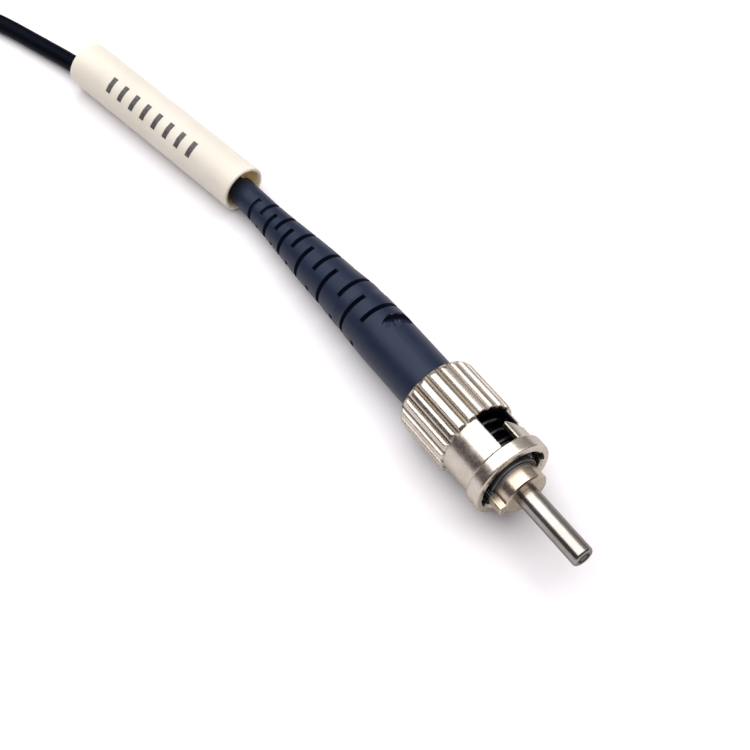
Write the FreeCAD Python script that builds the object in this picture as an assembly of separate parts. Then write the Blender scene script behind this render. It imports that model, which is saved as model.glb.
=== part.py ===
import FreeCAD, Part
import math, os

# Plastic optical fibre cable with a bayonet plug on each end.
#
# Frame: millimetres, +Z up. Origin at the centre of the polished end face of
# the near ferrule (the optical reference plane). The near plug points along
# +X and lies on the surface that carries it, tail a little lower than its tip.

V = FreeCAD.Vector

# ---------------------------------------------------------------- dimensions
TILT = 3.8            # degrees, the plug leans back on the edge of its nut

# stations along the plug's own axis, measured back from the ferrule tip
FERRULE_R = 1.25
FERRULE_LEN = 12.2
FERRULE_SEAT_R = 1.05  # pressed into the body behind the collar's face
FERRULE_CHAMFER = 0.22
FIBRE_R = 0.5
CABLE_R = 1.1

COLLAR_FRONT = -8.95
COLLAR_R = 2.68
LEDGES = ((-11.0, -11.35, 2.95), (-11.75, -12.5, 3.25))   # narrow turned steps in front of the flange: front, back, radius
FLANGE_BACK = -13.2
FLANGE_R = 3.5
SHAFT_R = 2.25
SHAFT_BACK = -24.8
NECK_R = 1.62
NECK_BACK = -32.6
KEY_W = 1.3
KEY_TOP = 3.45
KEY_FRONT = -9.0
KEY_BACK = -11.6
KEY_CLOCK = -92.8    # degrees from +Z towards +Y

NUT_FRONT = -11.15
RIM_BACK = -12.85
KNURL_FRONT = -17.15
NUT_BACK = -24.6
KNURL_R = 4.85
RIM_R = 4.83
BARREL_R = 4.42
NUT_BORE_R = 3.75
NUT_SHOULDER_FRONT = -21.9
NUT_SHOULDER_BACK = -23.1
NUT_SHAFT_BORE_R = 2.32
NUT_REAR_BORE_R = 3.6
RIDGES = 20
GROOVE_CLOCK = 1.2   # centre of one groove
GROOVE_DEPTH = 0.40
GROOVE_TOP = 0.42     # groove width at the ridge tops, before rounding
GROOVE_BOTTOM = 0.32
RIDGE_ROUND = 0.36
LOCK_CLOCK = 11.8    # centre of the locking recess of the bayonet slot
LOCK_HALF = 14.7      # degrees
CHANNEL_W = 1.75
ENTRY_CLOCK = 76.7
ENTRY_HALF = 14.0
ENTRY_R = 4.10        # the entry is a groove inside the barrel
CHANNEL_END = 65.0    # where the cut through the barrel ends
RAMP_CLOCK = 45.0
# the land's sloping edge: station, and distance round the nut from RAMP_CLOCK
RAMP = [(-15.2, -1.75), (-15.38, -1.15), (-14.72, 0.05), (-14.4, 1.0), (-14.32, 1.4), (-15.9, 1.4), (-15.9, -1.75)]

WASHER_T = 0.45
SPRING_WIRE_R = 0.27
SPRING_MEAN_R = 2.98
SPRING_TURNS = 4.6
CLIP_T = 0.5
CLIP_GROOVE_R = 1.95
CLIP_R = 3.2

CRIMP_R_IN = 1.64
CRIMP_R_OUT = 2.05
CRIMP_FRONT = -25.1
CRIMP_BACK = -32.3

BOOT_FRONT = -23.9
BOOT_BACK = -62.4
BOOT_PROFILE = [(-23.9, 3.40), (-33.8, 3.39), (-37.3, 3.28), (-42.5, 2.90),
                (-47.1, 2.64), (-50.7, 2.32), (-53.8, 2.04), (-56.7, 1.83),
                (-60.5, 1.71), (-62.4, 1.68)]
BOOT_BORE_R = 2.12
BOOT_BORE_BACK = -33.2
BOOT_CABLE_BORE_R = 1.14
BEND_X = -39.0        # behind this the boot and its cable lean to one side
BEND_FLAT = 0.6       # half length of the straight-sided band at the bend
BEND = 2.6            # degrees, from -X towards -Y
SLOT_W = 0.60
SLOT_SPAN = 130.0
SLOT_CLOCK_A = -59.8
SLOT_CLOCK_B = 29.2
SLOTS_A = [-37.75, -42.85, -47.4, -51.3, -54.55, -57.9]
SLOTS_B = [-35.45, -40.05, -45.05, -49.5, -53.05, -56.2]
SLOT_FLOOR_R = 1.40
PIT_X = -33.07
PIT_CLOCK = 28.2
PIT_LONG = 4.3
PIT_SHORT = 2.1
PIT_DEPTH = 0.95

SLEEVE_R_OUT = 2.95
SLEEVE_R_IN = 2.50
SLEEVE_LEN = 29.3
SLEEVE_START = (-61.39, -0.95)
SLEEVE_HEAD_0 = 9.95   # degrees, from -X towards -Y
SLEEVE_HEAD_1 = 10.25

# put-away length: an oval hank of four turns and a bit, two layers
HANK_X_NEAR = -127.0
HANK_X_FAR = -172.0
HANK_Y = -4.8
HANK_R = 13.2
HANK_W = 6.6
HANK_H = 4.2
TIE_T = 0.4
TIE_W = 5.0
TIE_X = -136.0
TIE_GAP = 0.05

FAR_X = -104.4
FAR_Y = 7.4

# ------------------------------------------------------------------- helpers
T = math.radians(TILT)
AXIS = V(math.cos(T), 0, math.sin(T))
B = math.radians(BEND)
REAR = V(math.cos(B) * math.cos(T), math.sin(B), math.cos(B) * math.sin(T))   # the boot's tail, forwards
FLOOR = -(-NUT_BACK * math.sin(T) + KNURL_R * math.cos(T))   # z of the surface
HANK_Z = FLOOR + TIE_T + TIE_GAP                             # hank's underside
X = V(1, 0, 0)


def cyl(r, x_front, x_back):
    return Part.makeCylinder(r, x_front - x_back, V(x_back, 0, 0), X)


def ring(r_out, r_in, x_front, x_back):
    return cyl(r_out, x_front, x_back).cut(cyl(r_in, x_front + 1, x_back - 1))


def turned(points):
    """Solid of revolution about the plug's axis from (x, r) points."""
    pts = [V(x, 0, r) for x, r in points]
    face = Part.Face(Part.makePolygon(pts + [pts[0]]))
    return face.revolve(V(0, 0, 0), X, 360)


def clock(shape, deg):
    """Turn a shape made at +Z so that it stands at a clock angle (+Z to +Y)."""
    s = shape.copy()
    s.rotate(V(0, 0, 0), X, -deg)
    return s


def sector(r_out, x_front, x_back, centre, half):
    """Pie of an angular span about the axis, centred on a clock angle."""
    c = Part.makeCylinder(r_out, x_front - x_back, V(x_back, 0, 0), X, 2 * half)
    # the pie starts at some direction; measure its middle and turn it to +Z
    m = c.CenterOfMass
    now = math.degrees(math.atan2(m.y, m.z))
    c.rotate(V(0, 0, 0), X, -(centre - now))
    return c


def bent(shape):
    """Lean a shape that was made straight over to the boot's tail direction."""
    s = shape.copy()
    s.rotate(V(BEND_X, 0, 0), V(0, 0, 1), BEND)
    return s


def behind_mitre():
    """Everything behind the plane that halves the bend."""
    b = Part.makeBox(40, 20, 20, V(BEND_X - 40, -10, -10))
    b.rotate(V(BEND_X, 0, 0), V(0, 0, 1), BEND / 2)
    return b


def mitred(front, rear):
    """Straight piece in front of the bend and its leaning run behind, joined on the mitre plane."""
    return front.cut(behind_mitre()).fuse(bent(rear).common(behind_mitre())).removeSplitter()


def placed(shape, dx=0.0, dy=0.0, dz=0.0):
    s = shape.copy()
    s.rotate(V(0, 0, 0), V(0, 1, 0), -TILT)
    s.translate(V(dx, dy, dz))
    return s


# ------------------------------------------------------- pieces of one plug
def make_ferrule():
    c = FERRULE_CHAMFER
    body = turned([(0, 0), (0, FERRULE_R - c), (-0.07, FERRULE_R - 0.45 * c),
                   (-c, FERRULE_R), (COLLAR_FRONT, FERRULE_R), (COLLAR_FRONT, FERRULE_SEAT_R),
                   (-FERRULE_LEN, FERRULE_SEAT_R), (-FERRULE_LEN, 0)])
    return body.cut(cyl(FIBRE_R, 1, -FERRULE_LEN - 1))


def make_fibre():
    return cyl(FIBRE_R, -0.02, -FERRULE_LEN)


def make_body():
    g0 = NUT_SHOULDER_BACK - 0.1
    g1 = g0 - CLIP_T
    (f0, b0, lr0), (f1, b1, lr1) = LEDGES
    body = turned([
        (COLLAR_FRONT, 0), (COLLAR_FRONT, COLLAR_R - 0.15), (COLLAR_FRONT - 0.15, COLLAR_R),
        (f0, COLLAR_R), (f0, lr0 - 0.08), (f0 - 0.08, lr0), (b0, lr0), (b0, COLLAR_R),
        (f1, COLLAR_R), (f1, lr1 - 0.08), (f1 - 0.08, lr1), (b1, lr1),
        (b1, FLANGE_R - 0.12), (b1 - 0.12, FLANGE_R),
        (FLANGE_BACK, FLANGE_R), (FLANGE_BACK, SHAFT_R),
        (g0, SHAFT_R), (g0, CLIP_GROOVE_R), (g1, CLIP_GROOVE_R), (g1, SHAFT_R),
        (SHAFT_BACK, SHAFT_R), (SHAFT_BACK, NECK_R), (NECK_BACK, NECK_R), (NECK_BACK, 0)])
    key = Part.makeBox(KEY_FRONT - KEY_BACK, KEY_W, KEY_TOP - 2.0,
                       V(KEY_BACK, -KEY_W / 2, 2.0))
    ends = [e for e in key.Edges if abs(e.CenterOfMass.z - KEY_TOP) < 1e-6]
    key = key.makeChamfer(0.12, ends)
    body = body.fuse(clock(key, KEY_CLOCK)).removeSplitter()
    body = body.cut(cyl(FERRULE_SEAT_R, 0, -FERRULE_LEN))
    body = body.cut(cyl(CABLE_R, -FERRULE_LEN, NECK_BACK - 1))
    return body


def knurl_face(x):
    """Cross-section of the finger grip: rounded ridges, flat-floored grooves."""
    ro, ri = KNURL_R, KNURL_R - GROOVE_DEPTH
    pitch = 2 * math.pi / RIDGES
    ht, hb = GROOVE_TOP / 2, GROOVE_BOTTOM / 2

    def at(r, ang):
        return V(x, r * math.sin(ang), r * math.cos(ang))

    edges = []
    rr = RIDGE_ROUND
    for i in range(RIDGES):
        a0 = i * pitch + math.radians(GROOVE_CLOCK)   # centre of this groove
        a1 = a0 + pitch                     # centre of the next one
        floor_l = at(ri, a0 - hb / ri)
        floor_r = at(ri, a0 + hb / ri)
        edges.append(Part.Arc(floor_l, at(ri, a0), floor_r).toShape())
        top_r = at(ro - rr, a0 + (ht + 0.0) / ro)
        land_r = at(ro, a0 + (ht + rr) / ro)
        mid_r = at(ro - 0.29 * rr, a0 + (ht + 0.29 * rr) / ro)
        edges.append(Part.LineSegment(floor_r, top_r).toShape())
        edges.append(Part.Arc(top_r, mid_r, land_r).toShape())
        land_l = at(ro, a1 - (ht + rr) / ro)
        edges.append(Part.Arc(land_r, at(ro, (a0 + a1) / 2), land_l).toShape())
        top_l = at(ro - rr, a1 - (ht + 0.0) / ro)
        mid_l = at(ro - 0.29 * rr, a1 - (ht + 0.29 * rr) / ro)
        edges.append(Part.Arc(land_l, mid_l, top_l).toShape())
        edges.append(Part.LineSegment(top_l, at(ri, a1 - hb / ri)).toShape())
    return Part.Face(Part.Wire(edges))


def make_nut():
    grip = knurl_face(NUT_BACK).extrude(V(KNURL_FRONT - NUT_BACK, 0, 0))
    lathe = turned([(NUT_BACK, 0), (NUT_BACK, KNURL_R - 0.42), (NUT_BACK + 0.10, KNURL_R - 0.30),
                    (NUT_BACK + 0.45, KNURL_R - 0.06), (NUT_BACK + 0.8, KNURL_R + 0.01),
                    (KNURL_FRONT - 0.5, KNURL_R + 0.01), (KNURL_FRONT - 0.25, KNURL_R - 0.06),
                    (KNURL_FRONT - 0.06, KNURL_R - 0.24), (KNURL_FRONT, KNURL_R - 0.40),
                    (KNURL_FRONT, 0)])
    grip = grip.common(lathe)
    front = turned([(KNURL_FRONT - 0.5, 0), (KNURL_FRONT - 0.5, BARREL_R - 0.02),
                    (KNURL_FRONT, BARREL_R), (RIM_BACK - 0.12, BARREL_R), (RIM_BACK, BARREL_R + 0.1),
                    (RIM_BACK, RIM_R - 0.15), (RIM_BACK + 0.15, RIM_R),
                    (NUT_FRONT - 0.28, RIM_R), (NUT_FRONT - 0.08, RIM_R - 0.09),
                    (NUT_FRONT, RIM_R - 0.28), (NUT_FRONT, 0)])
    nut = grip.fuse(front)
    bore = turned([(NUT_FRONT + 1, 0), (NUT_FRONT + 1, NUT_BORE_R + 0.25 + 1),
                   (NUT_FRONT - 0.25, NUT_BORE_R), (NUT_SHOULDER_FRONT, NUT_BORE_R),
                   (NUT_SHOULDER_FRONT, NUT_SHAFT_BORE_R), (NUT_SHOULDER_BACK, NUT_SHAFT_BORE_R),
                   (NUT_SHOULDER_BACK, NUT_REAR_BORE_R), (NUT_BACK - 1, NUT_REAR_BORE_R),
                   (NUT_BACK - 1, 0)])
    nut = nut.cut(bore)
    # bayonet slot, twice: entry groove under the rim, channel along the grip
    # with a sloping front edge, and a locking recess that comes forward again
    c0 = LOCK_CLOCK - LOCK_HALF
    c1 = ENTRY_CLOCK + ENTRY_HALF
    slot_r = RIM_R + 1
    for turn in (0.0, 180.0):
        channel = sector(slot_r, KNURL_FRONT + CHANNEL_W, KNURL_FRONT - 0.25,
                         (c0 + CHANNEL_END) / 2 + turn, (CHANNEL_END - c0) / 2)
        inner = sector(ENTRY_R, KNURL_FRONT + CHANNEL_W, KNURL_FRONT - 0.25, (c0 + c1) / 2 + turn, (c1 - c0) / 2)
        lock = sector(slot_r, RIM_BACK, KNURL_FRONT + 0.5, LOCK_CLOCK + turn, LOCK_HALF)
        entry = sector(ENTRY_R, RIM_BACK, KNURL_FRONT + 0.5, ENTRY_CLOCK + turn, ENTRY_HALF)
        groove = sector(ENTRY_R, NUT_FRONT + 1, RIM_BACK - 0.5, ENTRY_CLOCK + turn, ENTRY_HALF)
        ramp = Part.Face(Part.makePolygon([V(x, t, 3.0) for x, t in RAMP + RAMP[:1]])).extrude(V(0, 0, 3))
        nut = nut.cut(channel.fuse([inner, lock, entry])).cut(groove).cut(clock(ramp, RAMP_CLOCK + turn))
    return nut.removeSplitter()


def make_spring_washer():
    return ring(3.45, SHAFT_R, FLANGE_BACK, FLANGE_BACK - WASHER_T)


def make_thrust_washer():
    front = NUT_SHOULDER_FRONT + 0.05 + WASHER_T
    return ring(3.45, SHAFT_R + 0.07, front, front - WASHER_T)


def make_spring():
    front = FLANGE_BACK - WASHER_T - SPRING_WIRE_R - 0.04
    back = NUT_SHOULDER_FRONT + 0.05 + WASHER_T + SPRING_WIRE_R + 0.04
    h = front - back
    helix = Part.makeLongHelix(h / SPRING_TURNS, h, SPRING_MEAN_R)
    start = V(SPRING_MEAN_R, 0, 0)
    prof = Part.Wire([Part.makeCircle(SPRING_WIRE_R, start, V(0, 1, 0))])
    s = Part.Wire(helix.Edges).makePipeShell([prof], True, True)
    s.rotate(V(0, 0, 0), V(0, 1, 0), 90)
    s.translate(V(back, 0, 0))
    return s


def make_clip():
    front = NUT_SHOULDER_BACK - 0.1
    c = ring(CLIP_R, CLIP_GROOVE_R, front, front - CLIP_T)
    return c.cut(sector(CLIP_R + 1, front + 1, front - 2, 180, 32))


def make_crimp():
    c = ring(CRIMP_R_OUT, CRIMP_R_IN, CRIMP_FRONT, CRIMP_BACK)
    # two flats left by the crimping die
    for s in (1, -1):
        c = c.cut(Part.makeBox(5.0, 4, 1, V(CRIMP_BACK + 1.6, -2, 1.92 if s > 0 else -2.92)))
    return c


def make_boot():
    x0, r0 = BOOT_PROFILE[0]
    xb, rb = BOOT_PROFILE[-1]
    front = [q for q in BOOT_PROFILE[1:-1] if q[0] > BEND_X]
    rear = [q for q in BOOT_PROFILE[1:-1] if q[0] < BEND_X]
    (xa, ra), (xc, rc) = front[-1], rear[0]
    r_bend = ra + (rc - ra) * (BEND_X - xa) / (xc - xa)
    f, g = BEND_X + BEND_FLAT, BEND_X - BEND_FLAT
    # the two halves meet on the mitre plane of the bend
    half = turned([(x0, 0), (x0, r0 - 0.2), (x0 - 0.2, r0)] + front + [(f, r_bend), (g, r_bend), (g, 0)])
    tail = turned([(f, 0), (f, r_bend), (g, r_bend)] + rear + [(xb + 0.15, rb), (xb, rb - 0.15), (xb, 0)])
    boot = mitred(half, tail)
    # bore: over the body's stub, the crimp and then the cable
    bore = turned([
        (BOOT_FRONT + 1, 0), (BOOT_FRONT + 1, SHAFT_R + 0.02), (SHAFT_BACK - 0.02, SHAFT_R + 0.02),
        (SHAFT_BACK - 0.02, BOOT_BORE_R), (BOOT_BORE_BACK, BOOT_BORE_R),
        (BOOT_BORE_BACK - 0.8, BOOT_CABLE_BORE_R), (g, BOOT_CABLE_BORE_R), (g, 0)])
    boot = boot.cut(mitred(bore, cyl(BOOT_CABLE_BORE_R, f, BOOT_BACK - 1)))
    cutters = []
    for xs, centre in ((SLOTS_A, SLOT_CLOCK_A), (SLOTS_B, SLOT_CLOCK_B)):
        for x in xs:
            for turn in (0, 180):
                pie = sector(5, x + SLOT_W / 2, x - SLOT_W / 2, centre + turn, SLOT_SPAN / 2)
                pie = pie.cut(cyl(SLOT_FLOOR_R, x + 1, x - 1))
                cutters.append(bent(pie) if x < BEND_X else pie)
    boot = boot.cut(cutters)
    # oval window moulded through to the crimp's space, torn film left inside
    ell = Part.Ellipse(V(0, 0, 0), PIT_LONG / 2, PIT_SHORT / 2).toShape()
    pit = Part.Face(Part.Wire([ell])).extrude(V(0, 0, 3))
    pit.rotate(V(0, 0, 0), V(0, 0, 1), 90)
    pit.translate(V(PIT_X, 0, 3.40 - PIT_DEPTH))
    return boot.cut(clock(pit, PIT_CLOCK))


def make_inner_cable():
    return mitred(cyl(CABLE_R, -FERRULE_LEN, BEND_X - BEND_FLAT), cyl(CABLE_R, BEND_X + BEND_FLAT, BOOT_BACK))


plug = {
    "ferrule": make_ferrule(),
    "fibre_core": make_fibre(),
    "plug_body": make_body(),
    "spring_washer": make_spring_washer(),
    "coupling_spring": make_spring(),
    "thrust_washer": make_thrust_washer(),
    "coupling_nut": make_nut(),
    "retaining_clip": make_clip(),
    "crimp_sleeve": make_crimp(),
    "strain_relief_boot": make_boot(),
    "cable_in_plug": make_inner_cable(),
}

nodes = {}
FAR_DZ = HANK_Z + HANK_H + 0.05 - FLOOR
for name, shape in plug.items():
    nodes[name] = placed(shape)
    nodes["far_" + name] = placed(shape, FAR_X, FAR_Y, FAR_DZ)


# -------------------------------------------------------- marker sleeve
def make_sleeve():
    b0, b1 = math.radians(SLEEVE_HEAD_0), math.radians(SLEEVE_HEAD_1)
    radius = SLEEVE_LEN / (b1 - b0)
    start = V(SLEEVE_START[0], SLEEVE_START[1], FLOOR + SLEEVE_R_OUT)
    head = V(-math.cos(b0), -math.sin(b0), 0)
    side = V(math.sin(b0), -math.cos(b0), 0)       # towards the bend's centre
    centre = start + side * radius
    def bent_rod(r):
        disc = Part.Face(Part.Wire([Part.makeCircle(r, start, head)]))
        rod = disc.revolve(centre, V(0, 0, 1), math.degrees(b1 - b0))
        # the bend has to run on along the heading, away from the plug
        if rod.CenterOfMass.x > start.x:
            rod = disc.revolve(centre, V(0, 0, -1), math.degrees(b1 - b0))
        return rod

    return bent_rod(SLEEVE_R_OUT).cut(bent_rod(SLEEVE_R_IN))


nodes["marker_sleeve"] = make_sleeve()


# ------------------------------------------------------------------- cable
def tube(points, name):
    """Tube along straight runs joined by tangent arcs as large as they allow."""
    pts = [V(*p) for p in points]
    runs = [(pts[i + 1] - pts[i]).Length for i in range(len(pts) - 1)]
    edges, radii = [], []
    last = pts[0]
    for i in range(1, len(pts) - 1):
        d0 = (pts[i] - pts[i - 1]).normalize()
        d1 = (pts[i + 1] - pts[i]).normalize()
        turn = math.acos(max(-1, min(1, d0.dot(d1))))
        cut = 0.45 * min(runs[i - 1], runs[i])
        r = cut / math.tan(turn / 2)
        radii.append(r)
        a, b = pts[i] - d0 * cut, pts[i] + d1 * cut
        bis = (d1 - d0).normalize()
        centre = pts[i] + bis * (r / math.cos(turn / 2))
        mid = centre - bis * r
        edges.append(Part.LineSegment(last, a).toShape())
        edges.append(Part.Arc(a, mid, b).toShape())
        last = b
    edges.append(Part.LineSegment(last, pts[-1]).toShape())
    path = Part.Wire(edges)
    d = (pts[1] - pts[0]).normalize()
    prof = Part.Wire([Part.makeCircle(CABLE_R, pts[0], d)])
    s = path.makePipeShell([prof], True, False)
    print(name, "runs", [round(r, 1) for r in runs], "radii", [round(r, 1) for r in radii],
          "length", round(path.Length, 2), "volume ratio",
          round(s.Volume / (math.pi * CABLE_R ** 2 * path.Length), 5), s.isValid())
    return s, path.Length


exit_pt = AXIS * BEND_X + REAR * (BOOT_BACK - BEND_X)
near_out = exit_pt - REAR * 4.2
LEAD = [
    (exit_pt.x, exit_pt.y, exit_pt.z),
    (near_out.x, near_out.y, near_out.z),
    (-72.0, -2.45, FLOOR + 1.92),
    (-79.5, -4.05, FLOOR + 1.84),
    (-87.0, -5.75, FLOOR + 1.75),
    (-92.8, -7.20, FLOOR + 1.60),
    (-98.5, -9.05, FLOOR + 1.28),
    (-105.4, -11.45, FLOOR + 1.20),
    (-110.8, -14.40, FLOOR + 1.26),
    (-115.9, -17.40, FLOOR + 1.40),
    (-121.0, -19.50, FLOOR + 1.55),
]
nodes["cable_lead"], lead_len = tube(LEAD, "cable_lead")

far_exit = exit_pt + V(FAR_X, FAR_Y, FAR_DZ)
u_side = 0.70711
RUN = (far_exit.y + 18.0) / (1 + 2 * u_side)
kx = far_exit.x - RUN
ZT = HANK_Z + HANK_H + CABLE_R
k4 = far_exit - REAR * RUN
TAIL = [
    (kx + RUN, -18.0, ZT + 0.06),
    (kx, -18.0, ZT + 0.10),
    (kx - RUN * u_side, -18.0 + RUN * u_side, ZT + 0.22),
    (kx - RUN * u_side, -18.0 + RUN * (1 + u_side), ZT + 0.45),
    (k4.x, k4.y, k4.z),
    (far_exit.x, far_exit.y, far_exit.z),
]
nodes["cable_tail"], tail_len = tube(TAIL, "cable_tail")


def oval(r, z, h):
    cx0, cx1, cy = HANK_X_NEAR, HANK_X_FAR, HANK_Y
    e = [Part.LineSegment(V(cx0, cy - r, z), V(cx1, cy - r, z)).toShape(),
         Part.Arc(V(cx1, cy - r, z), V(cx1 - r, cy, z), V(cx1, cy + r, z)).toShape(),
         Part.LineSegment(V(cx1, cy + r, z), V(cx0, cy + r, z)).toShape(),
         Part.Arc(V(cx0, cy + r, z), V(cx0 + r, cy, z), V(cx0, cy - r, z)).toShape()]
    return Part.Face(Part.Wire(e)).extrude(V(0, 0, h))


hank = oval(HANK_R + HANK_W / 2, HANK_Z, HANK_H).cut(oval(HANK_R - HANK_W / 2, HANK_Z - 1, HANK_H + 2))
hank = hank.makeFillet(0.9, [e for e in hank.Edges if abs(e.BoundBox.ZLength) < 1e-6])
nodes["cable_hank"] = hank


def band(y_mid, w, z0, z1):
    """Closed strap around a stack, made of flat tape."""
    t = TIE_T
    out = Part.makeBox(TIE_W, w + 2 * t, z1 - z0 + 2 * t, V(TIE_X - TIE_W / 2, y_mid - w / 2 - t, z0 - t))
    out = out.makeFillet(0.9, [e for e in out.Edges if abs(e.Length - TIE_W) < 1e-6])
    inn = Part.makeBox(TIE_W + 2, w, z1 - z0, V(TIE_X - TIE_W / 2 - 1, y_mid - w / 2, z0))
    inn = inn.makeFillet(0.5, [e for e in inn.Edges if abs(e.Length - TIE_W - 2) < 1e-6])
    return out.cut(inn)


y_lo, y_hi = HANK_Y - HANK_R, HANK_Y + HANK_R
nodes["hank_tie"] = band(y_lo, HANK_W + 2 * TIE_GAP, HANK_Z - TIE_GAP, HANK_Z + HANK_H + TIE_GAP)
# second strap goes round the hank's other side and the far plug's boot
boot_x = (TIE_X - FAR_X) / math.cos(T)
boot_top = FLOOR + FAR_DZ + (-FLOOR) + boot_x * math.sin(T) + 3.45 + 0.15
y_in, y_out = FAR_Y - 3.40 - 0.1, y_hi + HANK_W / 2 + TIE_GAP
nodes["plug_tie"] = band((y_in + y_out) / 2, y_out - y_in, HANK_Z - TIE_GAP, boot_top)

# -------------------------------------------------------------------- write
os.makedirs("parts", exist_ok=True)
for name, shape in nodes.items():
    solids = shape.Solids
    print("%-26s solids %d valid %s volume %.2f mm3" % (name, len(solids), shape.isValid(), shape.Volume))
    if len(solids) == 1:
        shape = solids[0]
    shape.exportStep("parts/%s.step" % name)
print("floor z %.4f  far dz %.4f  far exit %s" % (FLOOR, FAR_DZ, far_exit))
print("lead %.2f tail %.2f" % (lead_len, tail_len))
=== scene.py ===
import bpy, bmesh, math
from mathutils import Vector, Matrix, noise


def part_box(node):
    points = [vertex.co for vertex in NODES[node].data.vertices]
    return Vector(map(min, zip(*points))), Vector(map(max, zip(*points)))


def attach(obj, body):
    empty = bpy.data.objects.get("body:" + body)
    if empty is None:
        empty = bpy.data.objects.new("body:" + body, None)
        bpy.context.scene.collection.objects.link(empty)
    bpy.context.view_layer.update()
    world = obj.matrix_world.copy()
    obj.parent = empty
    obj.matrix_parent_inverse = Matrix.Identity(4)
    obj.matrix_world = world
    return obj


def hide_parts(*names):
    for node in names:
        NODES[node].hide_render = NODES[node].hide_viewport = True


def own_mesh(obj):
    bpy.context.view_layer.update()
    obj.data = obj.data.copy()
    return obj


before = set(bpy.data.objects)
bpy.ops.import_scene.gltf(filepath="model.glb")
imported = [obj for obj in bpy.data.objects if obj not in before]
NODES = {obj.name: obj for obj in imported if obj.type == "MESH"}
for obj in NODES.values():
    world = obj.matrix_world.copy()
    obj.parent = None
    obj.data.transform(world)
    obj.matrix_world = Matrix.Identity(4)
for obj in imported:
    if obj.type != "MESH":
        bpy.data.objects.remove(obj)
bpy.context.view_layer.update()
SCENE = bpy.context.scene

# ---------------------------------------------------------------- the frame
# metres, +Z up, origin at the centre of the near ferrule's end face
MM = 0.001
TILT = math.radians(3.8)
AXIS = Vector((math.cos(TILT), 0, math.sin(TILT)))
PERP = Vector((-math.sin(TILT), 0, math.cos(TILT)))     # clock 0 of the plug
LEAN = math.radians(2.6)                                 # the boot's tail leans to -Y behind x = -39
REAR = AXIS * math.cos(LEAN) + Vector((0, math.sin(LEAN), 0))
BEND_X, BOOT_BACK = -39.0, -62.4
FLOOR = -6.4697                                          # mm
FAR = Vector((-104.4, 7.4, 4.70))                        # mm, the far plug's shift
HERE = Vector((0, 0, 0))


def on_plug(x, r, clock, shift=HERE):
    """Point beside the plug's axis, in metres: station x, radius r, clock angle in degrees."""
    c = math.radians(clock)
    return (AXIS * x + PERP * (r * math.cos(c)) + Vector((0, r * math.sin(c), 0)) + shift) * MM


# ------------------------------------------------------------------- camera
AZ, EL = math.radians(54.555), math.radians(58.649)
BACK = Vector((math.sin(AZ) * math.cos(EL), -math.cos(AZ) * math.cos(EL), math.sin(EL)))
RIGHT = Vector((math.cos(AZ), math.sin(AZ), 0))
UP = BACK.cross(RIGHT)
cam_data = bpy.data.cameras.new("camera")
cam_data.sensor_width = 36.0
cam_data.lens = 64.8
cam_data.clip_start, cam_data.clip_end = 0.005, 20.0
cam = bpy.data.objects.new("camera", cam_data)
SCENE.collection.objects.link(cam)
cam.matrix_world = Matrix((
    (RIGHT.x, UP.x, BACK.x, 0.031910),
    (RIGHT.y, UP.y, BACK.y, -0.048046),
    (RIGHT.z, UP.z, BACK.z, 0.123234),
    (0, 0, 0, 1)))
SCENE.camera = cam


# ---------------------------------------------------------------- materials
def new_mat(name):
    m = bpy.data.materials.new(name)
    m.use_nodes = True
    nt = m.node_tree
    return m, nt, nt.nodes["Principled BSDF"]


def node(nt, kind, **props):
    n = nt.nodes.new(kind)
    for k, v in props.items():
        setattr(n, k, v)
    return n


def coords(nt, scale=(1, 1, 1), which="Object"):
    """Object coordinates, which are the row frame here, stretched per axis."""
    tc = node(nt, "ShaderNodeTexCoord")
    mp = node(nt, "ShaderNodeMapping")
    mp.inputs["Scale"].default_value = scale
    nt.links.new(tc.outputs[which], mp.inputs["Vector"])
    return mp.outputs["Vector"]


def noise_tex(nt, vec, scale, detail=3.0, rough=0.5):
    n = node(nt, "ShaderNodeTexNoise")
    n.inputs["Scale"].default_value = scale
    n.inputs["Detail"].default_value = detail
    n.inputs["Roughness"].default_value = rough
    nt.links.new(vec, n.inputs["Vector"])
    return n.outputs["Fac"]


def ramp(nt, fac, stops, interp="LINEAR"):
    r = node(nt, "ShaderNodeValToRGB")
    r.color_ramp.interpolation = interp
    e = r.color_ramp.elements
    e[0].position, e[0].color = stops[0][0], stops[0][1]
    e[1].position, e[1].color = stops[-1][0], stops[-1][1]
    for p, c in stops[1:-1]:
        x = e.new(p)
        x.color = c
    nt.links.new(fac, r.inputs["Fac"])
    return r.outputs["Color"]


def remap(nt, fac, lo, hi, a=0.0, b=1.0):
    m = node(nt, "ShaderNodeMapRange")
    m.inputs["From Min"].default_value = a
    m.inputs["From Max"].default_value = b
    m.inputs["To Min"].default_value = lo
    m.inputs["To Max"].default_value = hi
    nt.links.new(fac, m.inputs["Value"])
    return m.outputs["Result"]


def math_op(nt, op, a, b):
    m = node(nt, "ShaderNodeMath", operation=op)
    for i, v in enumerate((a, b)):
        if isinstance(v, (int, float)):
            m.inputs[i].default_value = v
        else:
            nt.links.new(v, m.inputs[i])
    return m.outputs["Value"]


def vec_op(nt, op, a, b=None, scale=None, out="Vector"):
    m = node(nt, "ShaderNodeVectorMath", operation=op)
    for i, v in enumerate((a, b)):
        if v is None:
            continue
        if isinstance(v, (tuple, Vector)):
            m.inputs[i].default_value = tuple(v)
        else:
            nt.links.new(v, m.inputs[i])
    if scale is not None:
        nt.links.new(scale, m.inputs["Scale"])
    return m.outputs[out]


def blend_colour(nt, fac, a, b):
    m = node(nt, "ShaderNodeMix", data_type="RGBA")
    nt.links.new(fac, m.inputs["Factor"])
    nt.links.new(a, m.inputs["A"])
    nt.links.new(b, m.inputs["B"])
    return m.outputs["Result"]


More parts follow.
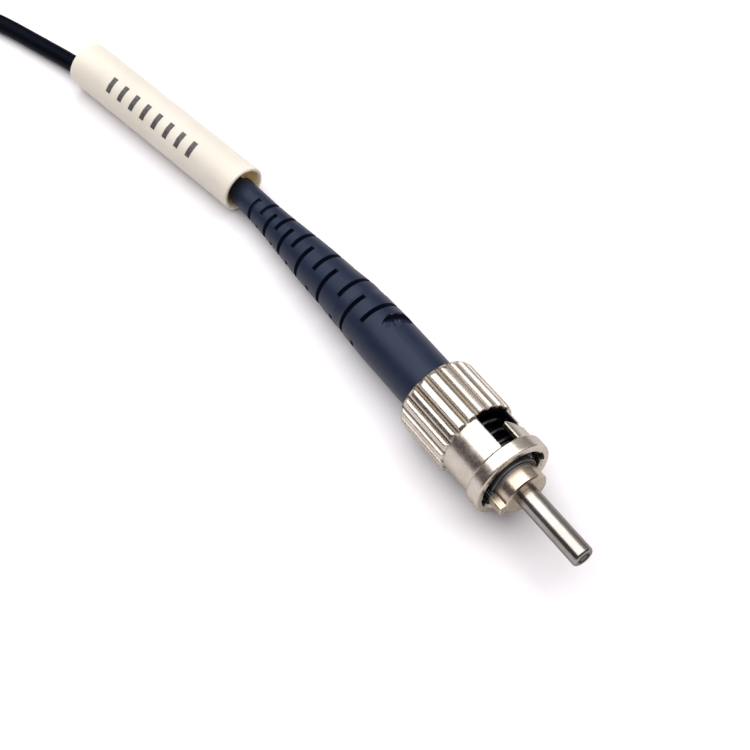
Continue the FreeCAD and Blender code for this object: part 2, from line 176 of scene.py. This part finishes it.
def plug_coords(nt, shift):
    """Station along the plug's axis and distance from it, both in metres."""
    q = vec_op(nt, "SUBTRACT", coords(nt), tuple(shift * MM))
    s = vec_op(nt, "DOT_PRODUCT", q, tuple(AXIS), out="Value")
    along = vec_op(nt, "SCALE", tuple(AXIS), scale=s)
    return s, vec_op(nt, "LENGTH", vec_op(nt, "SUBTRACT", q, along), out="Value")


def bump(nt, height, strength, distance, soft_edge=0.0, where=None):
    b = node(nt, "ShaderNodeBump")
    b.inputs["Strength"].default_value = strength
    b.inputs["Distance"].default_value = distance
    nt.links.new(height, b.inputs["Height"])
    if soft_edge:
        e = node(nt, "ShaderNodeBevel", samples=6)
        e.inputs["Radius"].default_value = soft_edge
        if where is not None:
            nt.links.new(where, e.inputs["Radius"])
        nt.links.new(e.outputs["Normal"], b.inputs["Normal"])
    return b.outputs["Normal"]


def metal(name, dark, mid, light, rough_lo, rough_hi, bump_mm, grain=(1, 1, 1), grain_scale=2600, shift=HERE, edge=0.0,
          stain_and_shade=None, rim=0.7, knurl=False):
    """Plated or turned metal; the given function of (nt, col, cloud, station, radius) lays painted shade (nut, body)
    and a glue ring (ferrule tip) over the bare colour.
    """
    m, nt, bsdf = new_mat(name)
    v = coords(nt)
    cloud = noise_tex(nt, v, 420, 4, 0.6)
    col = ramp(nt, cloud, [(0.28, (*dark, 1)), (0.5, (*mid, 1)), (0.72, (*light, 1))])
    streak = noise_tex(nt, coords(nt, grain), grain_scale, 3, 0.6)
    rough = remap(nt, streak, rough_lo, rough_hi, 0.3, 0.7)
    soft = None
    if stain_and_shade:
        station, radius = plug_coords(nt, shift)
        col, clean_and_lit = stain_and_shade(nt, col, cloud, station, radius)
        if knurl:
            soft = remap(nt, station, 0.34 * MM, edge * MM, -13.05 * MM, -12.90 * MM)
        rough = math_op(nt, "ADD", rough, remap(nt, clean_and_lit, 0.16, 0.0))
    nt.links.new(col, bsdf.inputs["Base Color"])
    bsdf.inputs["Metallic"].default_value = 1.0
    bsdf.inputs["Specular Tint"].default_value = (rim, rim * 0.96, rim * 0.92, 1)
    nt.links.new(rough, bsdf.inputs["Roughness"])
    nt.links.new(bump(nt, streak, 0.12, bump_mm * MM, edge * MM, soft), bsdf.inputs["Normal"])
    return m


def black(nt, cloud):
    return ramp(nt, cloud, [(0.3, (0.014, 0.013, 0.020, 1)), (0.7, (0.028, 0.026, 0.036, 1))])


def nut_painted_shade(nt, col, cloud, station, radius):
    """Painted shade: brown in the knurl's grooves, black in the bore and on the walls of the channel."""
    deep = math_op(nt, "MULTIPLY", remap(nt, radius, 1.0, 0.0, 4.46 * MM, 4.64 * MM),
                   remap(nt, station, 1.0, 0.0, -17.27 * MM, -17.13 * MM))
    brown = ramp(nt, cloud, [(0.3, (0.120, 0.096, 0.076, 1)), (0.7, (0.19, 0.156, 0.126, 1))])
    col = blend_colour(nt, deep, col, brown)
    bore = math_op(nt, "MAXIMUM", remap(nt, radius, 0.0, 1.0, 3.80 * MM, 4.05 * MM),
                   remap(nt, station, 0.0, 1.0, -12.70 * MM, -12.10 * MM))
    walls = math_op(nt, "MAXIMUM", remap(nt, radius, 0.0, 1.0, 4.30 * MM, 4.40 * MM),
                    remap(nt, station, 0.0, 1.0, -15.45 * MM, -15.35 * MM))
    clean_and_lit = math_op(nt, "MINIMUM", bore, walls)
    return blend_colour(nt, clean_and_lit, black(nt, cloud), col), clean_and_lit


def body_painted_shade(nt, col, cloud, station, radius):
    """Painted shade: black behind the collar's bright end; the two narrow steps are left grey as painted lit rings."""
    clean_and_lit = remap(nt, station, 0.0, 1.0, -10.85 * MM, -10.55 * MM)
    steps = math_op(nt, "PINGPONG", math_op(nt, "SUBTRACT", radius, 2.80 * MM), 0.15 * MM)
    grey = ramp(nt, remap(nt, steps, 0.0, 1.0, 0.05 * MM, 0.12 * MM), [(0.0, (0.015, 0.014, 0.021, 1)), (1.0, (0.20, 0.20, 0.20, 1))])
    return blend_colour(nt, clean_and_lit, grey, col), clean_and_lit


def tip_grime(nt, col, cloud, station, radius):
    """A dark ring of glue about the fibre, on the end face only."""
    glue = math_op(nt, "MULTIPLY", remap(nt, radius, 1.0, 0.0, 0.62 * MM, 0.78 * MM),
                   remap(nt, station, 0.0, 1.0, -0.06 * MM, -0.03 * MM))
    clean_and_lit = math_op(nt, "SUBTRACT", 1.0, glue)
    return blend_colour(nt, glue, col, black(nt, cloud)), clean_and_lit


MATS = {}
# the nut and body materials carry painted shade in their hollows; the ferrule's carries a dark glue ring on its tip
for pre, sh in (("", HERE), ("far_", FAR)):
    MATS[pre + "nickel"] = metal(pre + "nickel", (0.46, 0.416, 0.356), (0.53, 0.486, 0.425), (0.60, 0.555, 0.494), 0.22, 0.32, 0.003,
                                 shift=sh, edge=0.12, stain_and_shade=nut_painted_shade, knurl=True)
    MATS[pre + "body_nickel"] = metal(pre + "body_nickel", (0.38, 0.317, 0.243), (0.455, 0.386, 0.307), (0.52, 0.451, 0.371), 0.22, 0.32, 0.003,
                                      shift=sh, edge=0.08, stain_and_shade=body_painted_shade)
    MATS[pre + "ferrule_steel"] = metal(pre + "ferrule_steel", (0.26, 0.243, 0.224), (0.30, 0.284, 0.265), (0.34, 0.325, 0.305), 0.20, 0.27,
                                        0.001, (0.12, 1, 1), shift=sh, edge=0.08, stain_and_shade=tip_grime, rim=0.40)
# the spring's near-black colour is painted shade, for the coils inside the nut
MATS["spring_steel"] = metal("spring_steel", (0.045, 0.045, 0.05), (0.062, 0.062, 0.067), (0.085, 0.085, 0.09), 0.26, 0.38, 0.003, rim=0.3)
MATS["dark_steel"] = metal("dark_steel", (0.02, 0.02, 0.022), (0.03, 0.03, 0.032), (0.045, 0.045, 0.047), 0.30, 0.42, 0.003, rim=0.2)
MATS["crimp_metal"] = metal("crimp_metal", (0.42, 0.40, 0.38), (0.50, 0.48, 0.46), (0.58, 0.56, 0.54), 0.28, 0.42, 0.006)


def rubber(name, dark, light, rough_lo, rough_hi, grain_mm, shine, sheen):
    m, nt, bsdf = new_mat(name)
    v = coords(nt)
    cloud = noise_tex(nt, v, 160, 4, 0.55)
    col = ramp(nt, cloud, [(0.3, (*dark, 1)), (0.7, (*light, 1))])
    nt.links.new(col, bsdf.inputs["Base Color"])
    fine = noise_tex(nt, v, 5200, 3, 0.6)
    nt.links.new(remap(nt, cloud, rough_lo, rough_hi, 0.3, 0.7), bsdf.inputs["Roughness"])
    nt.links.new(bump(nt, fine, 0.35, grain_mm * MM), bsdf.inputs["Normal"])
    bsdf.inputs["Specular IOR Level"].default_value = shine
    bsdf.inputs["Specular Tint"].default_value = (*sheen, 1)
    return m


MATS["boot_rubber"] = rubber("boot_rubber", (0.0063, 0.0102, 0.0256), (0.0094, 0.0145, 0.033), 0.40, 0.50, 0.02, 0.252, (0.72, 0.84, 1.0))
MATS["worn_rubber"] = rubber("worn_rubber", (0.026, 0.024, 0.030), (0.050, 0.044, 0.050), 0.45, 0.58, 0.02, 0.30, (1.0, 0.92, 0.92))
MATS["cable_jacket"] = rubber("cable_jacket", (0.0012, 0.0018, 0.0044), (0.0020, 0.0028, 0.0060), 0.36, 0.46, 0.02, 0.03, (0.70, 0.82, 1.0))


def fibre_mat():
    m, nt, bsdf = new_mat("clear_fibre")
    v = coords(nt)
    c = noise_tex(nt, v, 1800, 2)
    col = ramp(nt, c, [(0.3, (0.014, 0.014, 0.013, 1)), (0.7, (0.03, 0.03, 0.028, 1))])
    nt.links.new(col, bsdf.inputs["Base Color"])
    bsdf.inputs["Roughness"].default_value = 0.30
    bsdf.inputs["Specular IOR Level"].default_value = 0.12
    return m


MATS["clear_fibre"] = fibre_mat()


def sleeve_mat():
    """Soft cream plastic; a row of plain dark bars where a real one is printed."""
    m, nt, bsdf = new_mat("marker_plastic")
    v = coords(nt)
    c = noise_tex(nt, v, 120, 4)
    cream = ramp(nt, c, [(0.3, (0.595, 0.545, 0.470, 1)), (0.7, (0.64, 0.59, 0.515, 1))])
    uv = node(nt, "ShaderNodeUVMap", uv_map="lay")
    sep = node(nt, "ShaderNodeSeparateXYZ")
    nt.links.new(uv.outputs["UV"], sep.inputs["Vector"])
    # u is millimetres along from the plug's end / 40, v is the turn about the sleeve's own line
    wob = remap(nt, noise_tex(nt, v, 1500, 2), -0.0016, 0.0016)
    u = math_op(nt, "ADD", sep.outputs["X"], wob)
    t = math_op(nt, "ADD", sep.outputs["Y"], wob)
    bar = math_op(nt, "PINGPONG", math_op(nt, "SUBTRACT", u, 0.15955), 0.02645)
    mask = remap(nt, bar, 0.0, 1.0, 0.0160, 0.0180)
    for sock, lo, hi, soft in ((u, 0.172, 0.570, 0.001), (t, 0.031, 0.146, 0.0015)):
        mask = math_op(nt, "MULTIPLY", mask, remap(nt, sock, 0.0, 1.0, lo - soft, lo + soft))
        mask = math_op(nt, "MULTIPLY", mask, remap(nt, sock, 1.0, 0.0, hi - soft, hi + soft))
    ink = ramp(nt, noise_tex(nt, v, 2600, 2), [(0.3, (0.035, 0.033, 0.031, 1)), (0.7, (0.075, 0.07, 0.066, 1))])
    nt.links.new(blend_colour(nt, mask, cream, ink), bsdf.inputs["Base Color"])
    nt.links.new(remap(nt, noise_tex(nt, v, 900, 3), 0.38, 0.50), bsdf.inputs["Roughness"])
    bsdf.inputs["Specular IOR Level"].default_value = 0.45
    bsdf.inputs["Subsurface Weight"].default_value = 0.80
    bsdf.inputs["Subsurface Radius"].default_value = (1.0, 0.85, 0.62)
    bsdf.inputs["Subsurface Scale"].default_value = 0.0016
    nt.links.new(bump(nt, noise_tex(nt, v, 2400, 3), 0.25, 0.02 * MM), bsdf.inputs["Normal"])
    return m


MATS["marker_plastic"] = sleeve_mat()


def tape_mat():
    m, nt, bsdf = new_mat("tie_tape")
    v = coords(nt)
    w = node(nt, "ShaderNodeTexWave", wave_type="BANDS", bands_direction="DIAGONAL")
    w.inputs["Scale"].default_value = 900
    w.inputs["Distortion"].default_value = 2.0
    nt.links.new(v, w.inputs["Vector"])
    col = ramp(nt, w.outputs["Fac"], [(0.2, (0.012, 0.012, 0.013, 1)), (0.8, (0.03, 0.03, 0.032, 1))])
    nt.links.new(col, bsdf.inputs["Base Color"])
    bsdf.inputs["Roughness"].default_value = 0.85
    nt.links.new(bump(nt, w.outputs["Fac"], 0.6, 0.08 * MM), bsdf.inputs["Normal"])
    return m


MATS["tie_tape"] = tape_mat()


def paint(obj, mat):
    obj.data.materials.clear()
    obj.data.materials.append(mat)


LOOK = {"ferrule": "ferrule_steel", "fibre_core": "clear_fibre", "plug_body": "body_nickel",
        "spring_washer": "dark_steel", "coupling_spring": "spring_steel", "thrust_washer": "dark_steel",
        "coupling_nut": "nickel", "retaining_clip": "dark_steel", "crimp_sleeve": "crimp_metal",
        "strain_relief_boot": "boot_rubber", "cable_in_plug": "cable_jacket"}
for base, look in LOOK.items():
    for pre in ("", "far_"):
        paint(NODES[pre + base], MATS[pre + look if pre + look in MATS else look])
for n, look in (("marker_sleeve", "marker_plastic"), ("cable_lead", "cable_jacket"), ("cable_hank", "cable_jacket"),
                ("cable_tail", "cable_jacket"), ("hank_tie", "tie_tape"), ("plug_tie", "tie_tape")):
    paint(NODES[n], MATS[look])


# -------------------------------------------------------------------- pieces
def piece(name, rows, mat, body, closed_rows=True, closed_cols=True, caps=False, uv=None):
    """Mesh from a grid of points: rows of equal length, each row a ring or a strip."""
    n, k = len(rows), len(rows[0])
    verts = [tuple(p) for row in rows for p in row]
    faces = []
    for i in range(n if closed_cols else n - 1):
        for j in range(k if closed_rows else k - 1):
            a, b = i * k + j, i * k + (j + 1) % k
            c, d = ((i + 1) % n) * k + (j + 1) % k, ((i + 1) % n) * k + j
            faces.append((a, b, c, d))
    if caps:
        faces.append(tuple(range(k - 1, -1, -1)))
        faces.append(tuple((n - 1) * k + j for j in range(k)))
    me = bpy.data.meshes.new(name)
    me.from_pydata(verts, [], faces)
    if uv:
        lay = me.uv_layers.new(name="lay")
        for poly in me.polygons:
            at = [(li, me.loops[li].vertex_index) for li in poly.loop_indices]
            seam = {0, k - 1} <= {vi % k for li, vi in at}
            for li, vi in at:
                lay.data[li].uv = uv(vi // k, k if seam and vi % k == 0 else vi % k)
    bm = bmesh.new()
    bm.from_mesh(me)
    bmesh.ops.recalc_face_normals(bm, faces=bm.faces)
    bm.to_mesh(me)
    bm.free()
    me.polygons.foreach_set("use_smooth", [len(p.vertices) == 4 for p in me.polygons])
    o = bpy.data.objects.new(name, me)
    SCENE.collection.objects.link(o)
    me.materials.append(mat)
    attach(o, body)
    return o


# the springs: closed end coils, even pitch between them
def spring(pre, shift):
    front, back, dead, pitch_dead = -13.96, -21.04, 0.5, 0.56
    active = (front - back - 2 * dead * pitch_dead) / 4.6
    rows, turns = [], 4.6 + 2 * dead
    steps = int(turns * 40)
    for i in range(steps + 1):
        t = turns * i / steps
        x = front - pitch_dead * min(t, dead) - active * min(max(t - dead, 0), 4.6) - pitch_dead * max(t - dead - 4.6, 0)
        clock = -117 + 360 * t
        ring = []
        for j in range(12):
            a = 2 * math.pi * j / 12
            ring.append(on_plug(x + 0.27 * math.sin(a), 2.98 + 0.27 * math.cos(a), clock, shift))
        rows.append(ring)
    o = piece(pre + "wire_spring", rows, MATS["spring_steel"], "cable", closed_cols=False, caps=True)
    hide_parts(pre + "coupling_spring")
    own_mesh(o)
    return o


springs = [spring("", HERE), spring("far_", FAR)]

# the marker sleeve: thin wall, rounded rims, hand-cut ends, a little out of round
SL_R, SL_W, SL_L = 2.95, 0.45, 29.3
SL_H0, SL_H1 = math.radians(9.95), math.radians(10.25)


def sleeve_line(s):
    """Point and heading of the sleeve's own line, s mm from the plug's end."""
    radius = SL_L / (SL_H1 - SL_H0)
    h = SL_H0 + (SL_H1 - SL_H0) * s / SL_L
    x = -61.39 - radius * (math.sin(h) - math.sin(SL_H0))
    y = -0.95 + radius * (math.cos(h) - math.cos(SL_H0))
    return Vector((x, y, FLOOR + SL_R)), Vector((math.sin(h), -math.cos(h), 0))


profile = []                                   # (s, distance from the line)
for i in range(61):
    profile.append((0.12 + (SL_L - 0.24) * i / 60, SL_R))
for a in (30, 60, 90, 120, 150):
    c = math.radians(a)
    profile.append((SL_L - 0.12 + 0.12 * math.sin(c), SL_R - SL_W / 2 + SL_W / 2 * math.cos(c)))
for i in range(61):
    profile.append((SL_L - 0.12 - (SL_L - 0.24) * i / 60, SL_R - SL_W))
for a in (30, 60, 90, 120, 150):
    c = math.radians(a)
    profile.append((0.12 - 0.12 * math.sin(c), SL_R - SL_W / 2 - SL_W / 2 * math.cos(c)))
rows, SEG = [], 96
for s, r in profile:
    p, side_v = sleeve_line(s)
    ring = []
    for j in range(SEG):
        a = 2 * math.pi * j / SEG               # from +Z towards the camera's side
        end = 0.07 * math.sin(a + 0.6) * (1 - min(s, 1.5) / 1.5) + 0.09 * math.sin(a - 1.1) * (1 - min(SL_L - s, 1.5) / 1.5)
        q, sv = sleeve_line(s + end)
        rr = r - 0.012 * (1 + math.cos(2 * a + 0.15 * s))
        ring.append((q + Vector((0, 0, 1)) * rr * math.cos(a) + sv * rr * math.sin(a)) * MM)
    rows.append(ring)
sleeve = piece("sleeve_shell", rows, MATS["marker_plastic"], "cable",
               uv=lambda i, j: (profile[i][0] / 40 if profile[i][1] > SL_R - 0.1 else 0.9, j / SEG))
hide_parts("marker_sleeve")


# straps round the hank: flat woven tape with an overlapped end
def strap(name, cad):
    lo, hi = (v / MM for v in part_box(cad))
    t, rad = 0.34, 0.85
    y0, y1, z0, z1 = lo.y + t / 2, hi.y - t / 2, lo.z + t / 2, hi.z - t / 2
    path = []
    for cy, cz, a0 in ((y1 - rad, z1 - rad, 90), (y1 - rad, z0 + rad, 0), (y0 + rad, z0 + rad, -90), (y0 + rad, z1 - rad, 180)):
        for k in range(9):
            a = math.radians(a0 - 90 * k / 8)
            path.append((cy + rad * math.cos(a), cz + rad * math.sin(a), math.cos(a), math.sin(a)))
    xm, w = (lo.x + hi.x) / 2, (hi.x - lo.x) / 2

    def section(y, z, ny, nz, lift=0.0, wide=1.0):
        out = []
        for dx, dn in ((-w * wide, -0.05), (-w * wide + 0.08, -t / 2), (w * wide - 0.08, -t / 2), (w * wide, -0.05),
                       (w * wide, 0.05), (w * wide - 0.08, t / 2), (-w * wide + 0.08, t / 2), (-w * wide, 0.05)):
            out.append(Vector((xm + dx, y + ny * (dn + lift), z + nz * (dn + lift))) * MM)
        return out

    o = piece(name, [section(*p) for p in path], MATS["tie_tape"], "cable")
    tail = []
    for k in range(25):
        f = k / 24
        y = y0 + rad + (y1 - y0 - 2 * rad) * (0.12 + 0.80 * f)
        tail.append(section(y, z1, 0.0, 1.0, 0.02 + 0.30 * min(1, 6 * f), 0.96 - 0.25 * max(0, f - 0.85)))
    bm = bmesh.new()
    bm.from_mesh(o.data)
    cols = [[bm.verts.new(p) for p in ring] for ring in tail]
    for a, b in zip(cols, cols[1:]):
        for j in range(8):
            bm.faces.new((a[j], a[(j + 1) % 8], b[(j + 1) % 8], b[j]))
    bm.faces.new(cols[0][::-1])
    bm.faces.new(cols[-1])
    bmesh.ops.recalc_face_normals(bm, faces=bm.faces)
    bm.to_mesh(o.data)
    bm.free()
    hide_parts(cad)
    return o


straps = [strap("hank_strap", "hank_tie"), strap("plug_strap", "plug_tie")]


# torn film in the boot's oval window
def flake(name, rim, torn, mat, shift):
    """Thin torn film in the boot's oval window, from the window's rim to its own ragged edge."""
    bm = bmesh.new()
    rows = []
    for line in (rim, torn):
        for d in (0.0, -0.12):
            rows.append([bm.verts.new(on_plug(-33.07 + w, 3.40 + h + d, 28.2 + math.degrees(u / 3.4), shift)) for u, w, h in line])
    rim_top, rim_low, torn_top, torn_low = rows
    for a, b in ((rim_top, torn_top), (torn_top, torn_low), (torn_low, rim_low), (rim_low, rim_top)):
        for k in range(len(rim) - 1):
            bm.faces.new((a[k], a[k + 1], b[k + 1], b[k]))
    for k in (0, -1):
        bm.faces.new((rim_top[k], torn_top[k], torn_low[k], rim_low[k]))
    bmesh.ops.recalc_face_normals(bm, faces=bm.faces)
    bmesh.ops.triangulate(bm, faces=bm.faces)
    me = bpy.data.meshes.new(name)
    bm.to_mesh(me)
    bm.free()
    o = bpy.data.objects.new(name, me)
    SCENE.collection.objects.link(o)
    me.materials.append(MATS[mat])
    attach(o, "cable")
    return o


RIM_A = [(-1.90, -0.42, -0.08), (-2.37, -0.10, -0.03), (-2.28, 0.34, -0.03), (-1.90, 0.68, -0.03), (-1.38, 0.89, -0.03), (-0.94, 0.96, -0.03),
         (-0.62, 0.84, -0.20), (-0.36, 0.88, -0.26), (-0.08, 0.92, -0.20), (0.22, 1.07, -0.03), (0.55, 1.04, -0.03), (0.86, 0.98, -0.03)]
TORN_A = [(-1.76, -0.40, -0.16), (-1.72, -0.22, -0.08), (-1.42, -0.19, -0.14), (-1.18, 0.05, -0.04), (-0.96, 0.23, -0.14), (-0.64, -0.06, -0.02),
          (-0.46, 0.24, -0.16), (-0.20, 0.04, -0.03), (0.06, 0.16, -0.14), (0.08, 0.56, -0.24), (0.32, 0.74, -0.10), (0.80, 0.88, -0.14)]
RIM_B = [(-0.62, -1.03, -0.05), (-0.40, -1.05, -0.04), (0.02, -1.07, -0.04), (0.48, -1.04, -0.04), (0.85, -0.98, -0.04), (1.12, -0.92, -0.05)]
TORN_B = [(-0.58, -0.93, -0.12), (-0.36, -0.90, -0.06), (0.02, -0.97, -0.12), (0.40, -0.93, -0.05), (0.78, -0.91, -0.14), (1.05, -0.80, -0.08)]
for pre, sh in (("", HERE), ("far_", FAR)):
    flake(pre + "window_flake", RIM_A, TORN_A, "boot_rubber", sh)
    flake(pre + "window_lip", RIM_B, TORN_B, "worn_rubber", sh)

# -------------------------------------------------------------------- cable
EXIT = AXIS * BEND_X + REAR * (BOOT_BACK - BEND_X)
FAR_EXIT = EXIT + FAR
OUT = EXIT - REAR * 4.2
ZT = FLOOR + 0.45 + 4.2 + 1.1
route = [tuple(EXIT), tuple(OUT),
         (-72.0, -2.45, FLOOR + 1.92), (-79.5, -4.05, FLOOR + 1.84), (-87.0, -5.75, FLOOR + 1.75),
         (-92.8, -7.20, FLOOR + 1.60), (-98.5, -9.05, FLOOR + 1.28), (-105.4, -11.45, FLOOR + 1.20),
         (-110.8, -14.40, FLOOR + 1.26), (-115.9, -17.40, FLOOR + 1.40), (-121.0, -19.50, FLOOR + 1.55)]

# the hank's turns: out along the -Y side, round the far end, back along +Y,
# round the near end; each entry is (radius, height) where a straight side starts and ends
NEAR_X, FAR_X, MID_Y = -127.0, -172.0, -4.8
ARC = [15, 45, 75, 105, 135, 165]
TAN15, COS15 = math.tan(math.radians(15)), math.cos(math.radians(15))


def side(sign, r0, z0, r1, z1):
    xs = (NEAR_X - r0 * TAN15, -149.5, FAR_X + r1 * TAN15)
    if sign > 0:
        xs = (FAR_X + r0 * TAN15, -149.5, NEAR_X - r1 * TAN15)
    return [(x, MID_Y + sign * (r0 + (r1 - r0) * k), FLOOR + z0 + (z1 - z0) * k) for x, k in zip(xs, (0, 0.5, 1))]


def bend(far, r0, z0, r1, z1, hump=0.0):
    out = []
    for a in ARC:
        k, t = a / 180, math.radians(a)
        r = (r0 + (r1 - r0) * k) / COS15
        z = FLOOR + z0 + (z1 - z0) * k + hump * math.sin(t)
        if far:
            out.append((FAR_X - r * math.sin(t), MID_Y - r * math.cos(t), z))
        else:
            out.append((NEAR_X + r * math.sin(t), MID_Y + r * math.cos(t), z))
    return out


L1, L2 = 1.55, 3.455
route += side(-1, 15.4, L1, 15.4, L1) + bend(True, 15.4, L1, 15.4, L1)
route += side(1, 15.4, L1, 15.4, L1) + bend(False, 15.4, L1, 13.2, L1)
route += side(-1, 13.2, L1, 13.2, L1) + bend(True, 13.2, L1, 13.2, L1)
route += side(1, 13.2, L1, 13.2, L1) + bend(False, 13.2, L1, 11.0, L1)
route += side(-1, 11.0, L1, 11.0, L1) + bend(True, 11.0, L1, 11.0, L1)
route += side(1, 11.0, L1, 11.0, L2) + bend(False, 11.0, L2, 12.1, L2, 0.25)
route += side(-1, 12.1, L2, 12.1, L2) + bend(True, 12.1, L2, 14.3, L2, 0.25)
route += side(1, 14.3, L2, 14.3, L2) + bend(False, 14.3, L2, 14.3, L2, 0.15)
route += [(-130.9, MID_Y - 14.3, FLOOR + L2), (-141.0, MID_Y - 14.3, FLOOR + 4.1), (-154.0, -19.0, FLOOR + 5.45)]
RUN = (FAR_EXIT.y + 18.0) / (1 + 2 * 0.70711)
KX = FAR_EXIT.x - RUN
K4 = FAR_EXIT - REAR * RUN
route += [(KX + RUN, -18.0, ZT + 0.06), (KX, -18.0, ZT + 0.10),
          (KX - RUN * 0.70711, -18.0 + RUN * 0.70711, ZT + 0.22),
          (KX - RUN * 0.70711, -18.0 + RUN * 1.70711, ZT + 0.45),
          tuple(K4), tuple(FAR_EXIT)]

cable_data = bpy.data.curves.new("cable", "CURVE")
cable_data.dimensions = "3D"
sp = cable_data.splines.new("NURBS")
sp.points.add(len(route) - 1)
for p, q in zip(sp.points, route):
    p.co = (q[0] * MM, q[1] * MM, q[2] * MM, 1)
sp.order_u = 3
sp.use_endpoint_u = True
cable_data.resolution_u = 8
cable_data.bevel_depth = 1.1 * MM
cable_data.bevel_resolution = 8
cable_data.use_fill_caps = True
cable = bpy.data.objects.new("cable", cable_data)
SCENE.collection.objects.link(cable)
cable_data.materials.append(MATS["cable_jacket"])
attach(cable, "cable")
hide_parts("cable_lead", "cable_hank", "cable_tail")

# --------------------------------------------------------------------- stage
bm = bmesh.new()
bmesh.ops.create_grid(bm, x_segments=1, y_segments=1, size=1.5)
me = bpy.data.meshes.new("floor")
bm.to_mesh(me)
bm.free()
floor = bpy.data.objects.new("floor", me)
floor.location = (0, 0, FLOOR * MM - 0.00002)
SCENE.collection.objects.link(floor)
fm, nt, bsdf = new_mat("floor")
bsdf.inputs["Base Color"].default_value = (0.73, 0.715, 0.73, 1)
bsdf.inputs["Roughness"].default_value = 0.8
bsdf.inputs["Specular IOR Level"].default_value = 0.2
me.materials.append(fm)

world = bpy.data.worlds.new("world")
SCENE.world = world
world.use_nodes = True
world.node_tree.nodes["Background"].inputs["Color"].default_value = (1.0, 0.74, 0.86, 1)
world.node_tree.nodes["Background"].inputs["Strength"].default_value = 0.10
FLAT_UP = Vector((-RIGHT.y, RIGHT.x, 0))
CENTRE = Vector((-0.045, 0, 0))


def softbox(name, place, aim, w, h, power, colour=(1, 1, 1)):
    d = bpy.data.lights.new(name, "AREA")
    d.shape = "RECTANGLE"
    d.size, d.size_y = w, h
    d.energy = power
    d.color = colour
    o = bpy.data.objects.new(name, d)
    SCENE.collection.objects.link(o)
    o.location = place
    o.rotation_mode = "QUATERNION"
    o.rotation_quaternion = (place - aim).to_track_quat("Z", "Y")
    return o


# one wide box overhead, a weak one behind at the right, and a dim wide one low at the right
softbox("top", Vector((-0.22, -0.05, 0.60)), Vector((-0.18, -0.05, 0.0)), 1.00, 0.95, 10.7)
softbox("key", CENTRE + FLAT_UP * 0.10 + RIGHT * 0.45 + Vector((0, 0, 0.55)), CENTRE, 0.40, 0.40, 0.45)
softbox("side", CENTRE + Vector((-0.05, 0.62, 0.36)), CENTRE, 0.80, 0.55, 0.55)

SCENE.view_settings.view_transform = "Standard"
SCENE.view_settings.look = "None"
